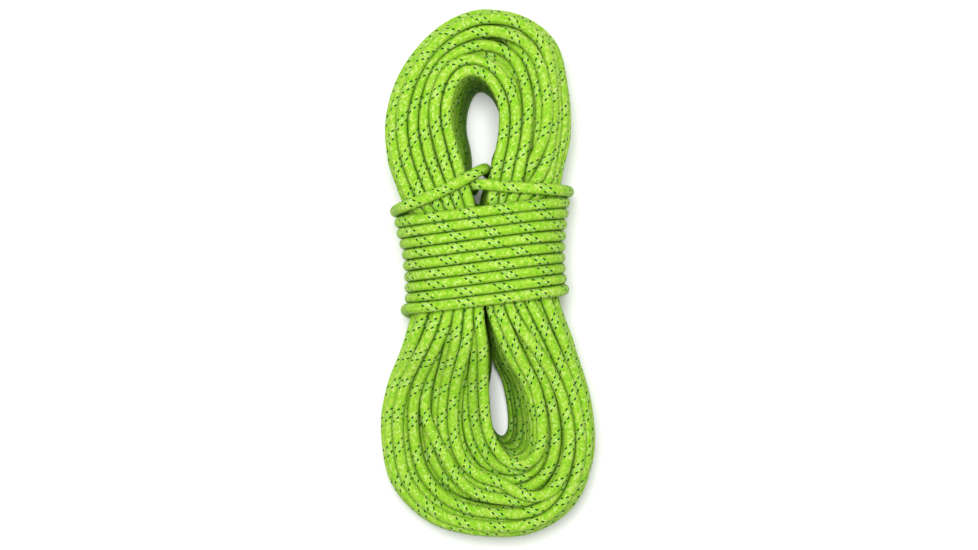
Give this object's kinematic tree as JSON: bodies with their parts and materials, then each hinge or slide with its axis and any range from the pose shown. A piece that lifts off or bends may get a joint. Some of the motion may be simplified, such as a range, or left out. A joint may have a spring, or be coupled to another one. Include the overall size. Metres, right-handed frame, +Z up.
{
  "type": "dynamic climbing rope",
  "caption": "Kernmantle dynamic climbing rope wound into a long hank, bound round its waist with its own tail and locked through the upper eye; braided lime sheath with dark tracers.",
  "frame": {"origin": "centre of the hank's outline, on the surface that it lies on", "axes": "+X across the hank, +Y along the hank towards the upper eye that it hangs by, +Z up, away from the surface, towards the side with the locking strand"},
  "size_m": [0.197, 0.483, 0.1103],
  "materials": {
    "sheath": "braided nylon yarns, satin, lime green with dark green tracer yarns",
    "core": "twisted white nylon yarns, matte",
    "marker_tape": "thin plain plastic tape, matte",
    "fused_end": "nylon melted and set hard, slightly glossy",
    "end_sleeve": "plain white shrink sleeve, smooth"
  },
  "bodies": {
    "root": {"hank_upper_loop": "sheath", "hank_waist": "sheath", "hank_lower_loop": "sheath", "binding_wraps": "sheath", "lock_strand": "sheath", "tail_sheath": "sheath", "start_sheath": "sheath", "core_strand_1": "core", "core_strand_2": "core", "core_strand_3": "core", "core_strand_4": "core", "core_strand_5": "core", "core_strand_6": "core", "core_strand_7": "core", "core_strand_8": "core", "core_strand_9": "core", "core_strand_10": "core", "core_strand_11": "core", "core_marker_tape": "marker_tape", "tail_end_seal": "fused_end", "start_end_seal": "fused_end", "tail_end_sleeve": "end_sleeve", "start_end_sleeve": "end_sleeve"}
  },
  "joints": []
}
